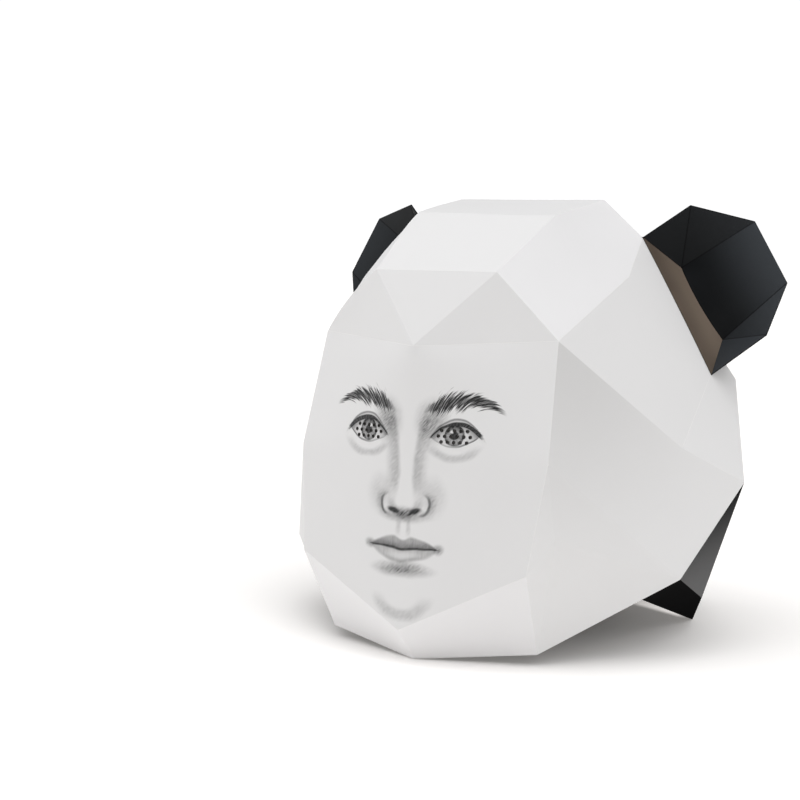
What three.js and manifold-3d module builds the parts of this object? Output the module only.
// Folded card head mask: a white faceted head with black ears and nape, open at the bottom.
// Millimetres, +Z up. The face looks along -Y. Left is the wearer's left, at +X.
import * as THREE from 'three';
import { mergeVertices } from 'three/addons/utils/BufferGeometryUtils.js';
import Module from 'manifold-3d';

const wasm = await Module();
wasm.setup();

// Card thickness and the gap left between neighbouring sheets
const CARD = 1;
const SEAM = 0.3;

// Depths are measured back from the chin tip, and the origin lies midway between front and back
const FRONT = -19.5;
const BACK = 268.5;
const MID_DEPTH = (FRONT + BACK) / 2;

// Fold corners of the left half of the head: name, half width, depth, height
const HEAD_ROWS = [
  ['chin_tip', 0, 0, 0],
  ['chin_fold', 0, FRONT, 23.5],
  ['face_peak', 0, -0.5, 206.5],
  ['face_top', 87.5, 33, 211],
  ['face_side', 92.5, 9.5, 135.5],
  ['face_foot', 84, -3, 65],
  ['brow', 45.5, 28.5, 254],
  ['crown_front', 49, 105, 289.5],
  ['crown_rear', 56.5, 169, 300],
  ['crown_back', 50, 232, 276],
  ['ear_fore', 91, 134.5, 248],
  ['ear_top', 84, 171, 273],
  ['ear_foot', 135.5, 173, 179.5],
  ['cheek_rear', 143, 106.5, 137.5],
  ['cheek_wide', 171, 149, 111],
  ['cheek_rim', 150.5, 88.5, 53.5],
  ['jaw_rim', 78, 25.5, 7.5],
  ['side_rear', 143.5, 203.5, 174.5],
  ['back_high', 74, BACK, 190],
  ['back_low', 74, BACK, 108],
  ['nape_side', 142, 205, 106],
  ['nape_fold', 137.5, 162, 25],
  ['nape_rim', 118, 195.5, 0],
  ['nape_back_fold', 88, 266.5, 30],
  ['nape_back_rim', 88, 258, 0],
];

// The nape starts on the cheek's lower rim, at this share of the way from cheek_rim to jaw_rim
const NAPE_START = 0.27;

// Fold corners of the left ear, a dish that faces forward: name, half width, depth, height
const EAR_ROWS = [
  ['rim_top', 113.5, 188, 296],
  ['rim_high', 153.5, 207, 285],
  ['rim_low', 178, 206, 243],
  ['rim_foot', 168, 194, 207.5],
  ['dish_high', 103, 199, 252],
  ['dish_low', 133.5, 202, 202],
];

// The ear's root line stands this far off the fold between cheek and side
const EAR_LIFT = 1.7;

// Grid of the bowed face sheet, and how far its soft middle fold is rounded, as a share of its half width
const FACE_COLUMNS = 12;
const FACE_ROWS_BELOW = 10;
const FACE_ROWS_ABOVE = 8;
const BOW_ROUNDING = 0.6;

// Eye holes: two eyes one eye width apart, at half the height of the head
const EYE_WIDTH = 32;
const EYE_HEIGHT = 150;
const HOLE_DIAMETER = 2.4;
const HOLE_PITCH = 4.2;
const HOLE_SIDES = 14;
const HOLES_PER_ROW = [5, 6, 5];
const HOLE_LENGTH = 60;

// Sheets and their facets. A leading minus names the corner's twin on the right half
const PAIRED_SHEETS = [
  { name: 'temple', finish: 'white', facets: ['brow face_top ear_fore ear_top crown_rear crown_front'] },
  {
    name: 'cheek',
    finish: 'white',
    facets: [
      'face_top ear_fore ear_top ear_foot cheek_rear',
      'face_top cheek_rear cheek_wide cheek_rim face_side',
      'face_side cheek_rim jaw_rim face_foot',
    ],
  },
  {
    name: 'side',
    finish: 'white',
    facets: [
      'crown_rear ear_top crown_back',
      'ear_top side_rear crown_back',
      'ear_top ear_foot side_rear',
      'ear_foot cheek_rear cheek_wide side_rear',
      'cheek_wide nape_side side_rear',
    ],
  },
  {
    name: 'nape',
    finish: 'black',
    facets: [
      'cheek_rim nape_front nape_rim nape_fold',
      'cheek_wide cheek_rim nape_fold',
      'cheek_wide nape_fold nape_back_fold nape_side',
      'nape_fold nape_rim nape_back_rim nape_back_fold',
    ],
  },
];
const CENTRE_SHEETS = [
  {
    name: 'forehead',
    finish: 'white',
    facets: ['-brow brow face_peak', 'brow face_peak face_top', '-brow face_peak -face_top'],
  },
  {
    name: 'crown',
    finish: 'white',
    facets: [
      '-brow brow crown_front -crown_front',
      '-crown_front crown_front crown_rear -crown_rear',
      '-crown_rear crown_rear crown_back -crown_back',
    ],
  },
  {
    name: 'chin',
    finish: 'white',
    facets: ['chin_fold face_foot jaw_rim chin_tip', 'chin_fold -face_foot -jaw_rim chin_tip'],
  },
  {
    name: 'back',
    finish: 'white',
    facets: [
      'crown_back -crown_back -back_high back_high',
      'crown_back side_rear back_high',
      '-crown_back -side_rear -back_high',
      'back_high side_rear nape_side back_low',
      '-back_high -side_rear -nape_side -back_low',
      'back_high back_low -back_low -back_high',
    ],
  },
  {
    name: 'nape_back',
    finish: 'black',
    facets: [
      'back_low nape_side nape_back_fold',
      '-back_low -nape_side -nape_back_fold',
      'back_low nape_back_fold -nape_back_fold -back_low',
      'nape_back_fold nape_back_rim -nape_back_rim -nape_back_fold',
    ],
  },
];
const EAR_SHEETS = [
  {
    name: 'ear',
    finish: 'black',
    facets: [
      'root_top rim_top dish_high',
      'rim_top rim_high dish_high',
      'rim_high rim_low dish_low dish_high',
      'rim_low rim_foot dish_low',
      'rim_foot root_foot dish_low',
    ],
  },
  { name: 'ear_root', finish: 'taupe', facets: ['root_top dish_high dish_low root_foot'] },
];

// Finishes of the card
const FINISHES = {
  white: { color: 0xefefee, roughness: 0.7, metalness: 0 },
  black: { color: 0x1a1c1e, roughness: 0.55, metalness: 0 },
  taupe: { color: 0x655b52, roughness: 0.6, metalness: 0 },
};

// Corners as points, each with its twin on the right half
function cornerPoints(rows) {
  const points = new Map();
  for (const [corner, halfWidth, depth, height] of rows) {
    addTwins(points, corner, new THREE.Vector3(halfWidth, depth - MID_DEPTH, height));
  }
  return points;
}

function addTwins(points, corner, point) {
  points.set(corner, point);
  points.set(twin(corner), new THREE.Vector3(-point.x, point.y, point.z));
}

function twin(corner) {
  return corner.startsWith('-') ? corner.slice(1) : `-${corner}`;
}

// Share of the bow at a place across the face, from a sharp fold at no rounding to a wide arc
function bowShare(across, rounding) {
  const rise = Math.hypot(across, rounding) - rounding;
  return rise / (Math.hypot(1, rounding) - rounding);
}

// Point of the face sheet: across runs from 0 on the middle line to 1 at the side, up counts the rows
function facePoint(head, across, up) {
  const below = up <= FACE_ROWS_BELOW;
  const rise = below ? up / FACE_ROWS_BELOW : (FACE_ROWS_BELOW + FACE_ROWS_ABOVE - up) / FACE_ROWS_ABOVE;
  const edgeMiddle = head.get(below ? 'chin_fold' : 'face_peak');
  const edgeSide = head.get(below ? 'face_foot' : 'face_top');
  const side = head.get('face_side');
  const height = (side.z - head.get('chin_fold').z) / (head.get('face_peak').z - head.get('chin_fold').z);
  const middle = head.get('chin_fold').clone().lerp(head.get('face_peak'), height);
  const share = bowShare(across, BOW_ROUNDING * (1 - (1 - rise) ** 2));
  const edge = edgeMiddle.clone().lerp(edgeSide, across);
  edge.y = THREE.MathUtils.lerp(edgeMiddle.y, edgeSide.y, share);
  const widest = middle.clone().lerp(side, across);
  widest.y = THREE.MathUtils.lerp(middle.y, side.y, share);
  return edge.lerp(widest, rise);
}

// Name of a face point: its corner where it is one, otherwise its row and column
function faceName(row, column) {
  const top = FACE_ROWS_BELOW + FACE_ROWS_ABOVE;
  const middleNames = { 0: 'chin_fold', [top]: 'face_peak' };
  const sideNames = { 0: 'face_foot', [FACE_ROWS_BELOW]: 'face_side', [top]: 'face_top' };
  const away = Math.abs(column);
  const sign = column < 0 ? '-' : '';
  if (away === 0 && middleNames[row]) return middleNames[row];
  if (away === FACE_COLUMNS && sideNames[row]) return sign + sideNames[row];
  return `${sign}face_${row}_${away}`;
}

// Adds the face grid to the head's points and returns its facets
function faceFacets(head) {
  const top = FACE_ROWS_BELOW + FACE_ROWS_ABOVE;
  for (let row = 0; row <= top; row += 1) {
    for (let column = 0; column <= FACE_COLUMNS; column += 1) {
      const name = faceName(row, column);
      if (!head.has(name)) addTwins(head, name, facePoint(head, column / FACE_COLUMNS, row));
    }
  }
  const facets = [];
  for (let row = 0; row < top; row += 1) {
    for (let column = -FACE_COLUMNS; column < FACE_COLUMNS; column += 1) {
      const lower = `${faceName(row, column)} ${faceName(row, column + 1)}`;
      const upper = `${faceName(row + 1, column + 1)} ${faceName(row + 1, column)}`;
      facets.push(`${lower} ${upper}`);
    }
  }
  return facets;
}

// Points along the straight edges that the face and the nape share with larger facets
function edgeSplits() {
  const top = FACE_ROWS_BELOW + FACE_ROWS_ABOVE;
  const splits = new Map();
  const addSplit = (from, to, names) => {
    splits.set(`${from} ${to}`, names);
    splits.set(`${to} ${from}`, names.toReversed());
    splits.set(`${twin(from)} ${twin(to)}`, names.map(twin));
    splits.set(`${twin(to)} ${twin(from)}`, names.map(twin).toReversed());
  };
  const inner = (count) => Array.from({ length: count - 1 }, (_, i) => i + 1);
  addSplit('cheek_rim', 'jaw_rim', ['nape_front']);
  addSplit('face_foot', 'face_side', inner(FACE_ROWS_BELOW).map((row) => faceName(row, FACE_COLUMNS)));
  addSplit(
    'face_side',
    'face_top',
    inner(FACE_ROWS_ABOVE).map((row) => faceName(FACE_ROWS_BELOW + row, FACE_COLUMNS)),
  );
  for (const sign of [1, -1]) {
    const mark = sign < 0 ? '-' : '';
    const across = inner(FACE_COLUMNS).map((column) => sign * column);
    const lower = across.map((column) => faceName(0, column));
    const upper = across.map((column) => faceName(top, column));
    splits.set(`chin_fold ${mark}face_foot`, lower);
    splits.set(`${mark}face_foot chin_fold`, lower.toReversed());
    splits.set(`face_peak ${mark}face_top`, upper);
    splits.set(`${mark}face_top face_peak`, upper.toReversed());
  }
  return splits;
}

// Area normal of an outline
function loopNormal(loop, points) {
  const normal = new THREE.Vector3();
  loop.forEach((name, i) => {
    const next = loop[(i + 1) % loop.length];
    normal.add(new THREE.Vector3().crossVectors(points.get(name), points.get(next)));
  });
  return normal.normalize();
}

function loopMiddle(loop, points) {
  const middle = new THREE.Vector3();
  loop.forEach((name) => middle.add(points.get(name)));
  return middle.divideScalar(loop.length);
}

// One facet with its edges split, turned so that its outer side faces away from, or towards, a point
function makeFacet(text, points, splits, target, away) {
  const loop = text.split(' ').flatMap((name, i, names) => {
    const next = names[(i + 1) % names.length];
    return [name, ...(splits.get(`${name} ${next}`) ?? [])];
  });
  const outward = loopMiddle(loop, points).sub(target).multiplyScalar(away ? 1 : -1);
  if (loopNormal(loop, points).dot(outward) < 0) loop.reverse();
  const normal = loopNormal(loop, points);
  let hub = null;
  if (loop.length > 4) {
    hub = `hub ${loop.join(' ')}`;
    points.set(hub, loopMiddle(loop, points));
  }
  return { loop, normal, hub };
}

// Smallest shift that moves a point by one distance along every direction given
function commonShift(directions, distance) {
  const SOFTNESS = 0.002;
  const m = [SOFTNESS, 0, 0, 0, SOFTNESS, 0, 0, 0, SOFTNESS];
  const sum = new THREE.Vector3();
  for (const direction of directions) {
    const d = direction.toArray();
    d.forEach((a, row) => d.forEach((b, column) => (m[3 * row + column] += a * b)));
    sum.addScaledVector(direction, distance);
  }
  return sum.applyMatrix3(new THREE.Matrix3(...m).invert());
}

function gather(map, name, value) {
  if (!map.has(name)) map.set(name, []);
  map.get(name).push(value);
}

// Shift of each point from the outer to the inner side of the card, mitred at the folds
function wallShifts(facets) {
  const normals = new Map();
  for (const { loop, normal, hub } of facets) {
    loop.forEach((name) => gather(normals, name, normal));
    if (hub) gather(normals, hub, normal);
  }
  return new Map([...normals].map(([name, list]) => [name, commonShift(list, -CARD)]));
}

function directedEdges(facets) {
  const edges = new Map();
  for (const facet of facets) {
    facet.loop.forEach((from, i) => {
      const to = facet.loop[(i + 1) % facet.loop.length];
      edges.set(`${from}>${to}`, { from, to, facet });
    });
  }
  return edges;
}

// Triangles of a facet with three or four corners
function cornerFan(loop) {
  return loop.slice(2).map((name, i) => [loop[0], loop[i + 1], name]);
}

// Closed solid of one sheet: outer facets, inner facets and the cut edge between them
function sheetGeometry(facets, points, shifts, allEdges) {
  const own = directedEdges(facets);
  const rim = [...own.values()].filter(({ from, to }) => !own.has(`${to}>${from}`));
  const insets = new Map();
  for (const { from, to, facet } of rim.filter(({ from, to }) => allEdges.has(`${to}>${from}`))) {
    const along = points.get(to).clone().sub(points.get(from)).normalize();
    const inward = new THREE.Vector3().crossVectors(facet.normal, along);
    gather(insets, from, inward);
    gather(insets, to, inward);
  }
  const names = [...new Set(facets.flatMap(({ loop, hub }) => (hub ? [...loop, hub] : loop)))];
  const outer = new Map(names.map((name, i) => [name, i]));
  const inner = new Map(names.map((name, i) => [name, i + names.length]));
  const outerPoints = names.map((name) => {
    const inset = commonShift(insets.get(name) ?? [], SEAM / 2);
    return points.get(name).clone().add(inset);
  });
  const innerPoints = names.map((name, i) => outerPoints[i].clone().add(shifts.get(name)));
  const triangles = [];
  for (const { loop, hub } of facets) {
    const spokes = hub ? loop.map((name, i) => [name, loop[(i + 1) % loop.length]]) : [];
    const fan = hub ? spokes.map((spoke) => [hub, ...spoke]) : cornerFan(loop);
    for (const [a, b, c] of fan) {
      triangles.push(outer.get(a), outer.get(b), outer.get(c));
      triangles.push(inner.get(c), inner.get(b), inner.get(a));
    }
  }
  for (const { from, to } of rim) {
    triangles.push(outer.get(to), outer.get(from), inner.get(from));
    triangles.push(outer.get(to), inner.get(from), inner.get(to));
  }
  const geometry = new THREE.BufferGeometry().setFromPoints([...outerPoints, ...innerPoints]);
  geometry.setIndex(triangles);
  return geometry;
}

// Solid for cutting, and back
function toSolid(geometry) {
  const bare = geometry.clone();
  bare.deleteAttribute('normal');
  bare.deleteAttribute('uv');
  const merged = mergeVertices(bare);
  return new wasm.Manifold(
    new wasm.Mesh({
      numProp: 3,
      vertProperties: new Float32Array(merged.attributes.position.array),
      triVerts: new Uint32Array(merged.index.array),
    }),
  );
}

function toGeometry(solid) {
  const mesh = solid.getMesh();
  const geometry = new THREE.BufferGeometry();
  geometry.setAttribute('position', new THREE.BufferAttribute(new Float32Array(mesh.vertProperties), 3));
  geometry.setIndex(new THREE.BufferAttribute(new Uint32Array(mesh.triVerts), 1));
  return geometry;
}

// Punches the rows of eye holes through the face
function pierceEyes(geometry) {
  const rowStep = (HOLE_PITCH * Math.sqrt(3)) / 2;
  let solid = toSolid(geometry);
  for (const side of [1, -1]) {
    HOLES_PER_ROW.forEach((count, row) => {
      for (let i = 0; i < count; i += 1) {
        const hole = new THREE.CylinderGeometry(HOLE_DIAMETER / 2, HOLE_DIAMETER / 2, HOLE_LENGTH, HOLE_SIDES);
        const x = side * EYE_WIDTH + (i - (count - 1) / 2) * HOLE_PITCH;
        const z = EYE_HEIGHT + ((HOLES_PER_ROW.length - 1) / 2 - row) * rowStep;
        hole.translate(x, FRONT - MID_DEPTH, z);
        solid = solid.subtract(toSolid(hole));
      }
    });
  }
  return toGeometry(solid);
}

function sheetMesh(name, finish, geometry) {
  geometry.computeVertexNormals();
  const mesh = new THREE.Mesh(geometry, new THREE.MeshStandardMaterial(FINISHES[finish]));
  mesh.name = name;
  return mesh;
}

// Names a paired sheet's two copies, the second with every corner swapped for its twin
function bothSides({ name, finish, facets }) {
  const mirrored = facets.map((text) => text.split(' ').map(twin).join(' '));
  return [
    { name: `${name}_left`, finish, facets },
    { name: `${name}_right`, finish, facets: mirrored },
  ];
}

// Turns sheet rows into meshes that share one set of mitred corners
function buildSheets(rows, points, splits, target, away) {
  const sheets = rows.map(({ name, finish, facets }) => ({
    name,
    finish,
    facets: facets.map((text) => makeFacet(text, points, splits, target, away)),
  }));
  const all = sheets.flatMap(({ facets }) => facets);
  const shifts = wallShifts(all);
  const allEdges = directedEdges(all);
  return sheets.map(({ name, finish, facets }) => {
    const geometry = sheetGeometry(facets, points, shifts, allEdges);
    return sheetMesh(name, finish, name === 'face' ? pierceEyes(geometry) : geometry);
  });
}

// Head: all white sheets and the nape, folded outward round the middle of the head
function buildHead() {
  const head = cornerPoints(HEAD_ROWS);
  addTwins(head, 'nape_front', head.get('cheek_rim').clone().lerp(head.get('jaw_rim'), NAPE_START));
  const rows = [
    { name: 'face', finish: 'white', facets: faceFacets(head) },
    ...CENTRE_SHEETS,
    ...PAIRED_SHEETS.flatMap(bothSides),
  ];
  const middle = new THREE.Vector3(0, 0, head.get('crown_rear').z / 2);
  return buildSheets(rows, head, edgeSplits(), middle, true);
}

// Ears: each dish faces a point in front of its rim, and its root stands off the head
function buildEars() {
  const head = cornerPoints(HEAD_ROWS);
  const ears = cornerPoints(EAR_ROWS);
  const lift = new THREE.Vector3()
    .subVectors(head.get('ear_top'), head.get('ear_foot'))
    .cross(new THREE.Vector3(0, 1, 0))
    .normalize()
    .multiplyScalar(-EAR_LIFT);
  addTwins(ears, 'root_top', head.get('ear_top').clone().add(lift));
  addTwins(ears, 'root_foot', head.get('ear_foot').clone().add(lift));
  return [1, -1].flatMap((side, i) => {
    const rows = EAR_SHEETS.map((sheet) => bothSides(sheet)[i]);
    const mark = side < 0 ? '-' : '';
    const rim = ['root_top', 'rim_top', 'rim_high', 'rim_low', 'rim_foot', 'root_foot'].map((n) => mark + n);
    const focus = loopMiddle(rim, ears).add(new THREE.Vector3(side * CARD, -BACK, 0));
    return buildSheets(rows, ears, new Map(), focus, false);
  });
}

const mask = new THREE.Group();
mask.name = 'paper_mask';
mask.add(...buildHead(), ...buildEars());

export default mask;
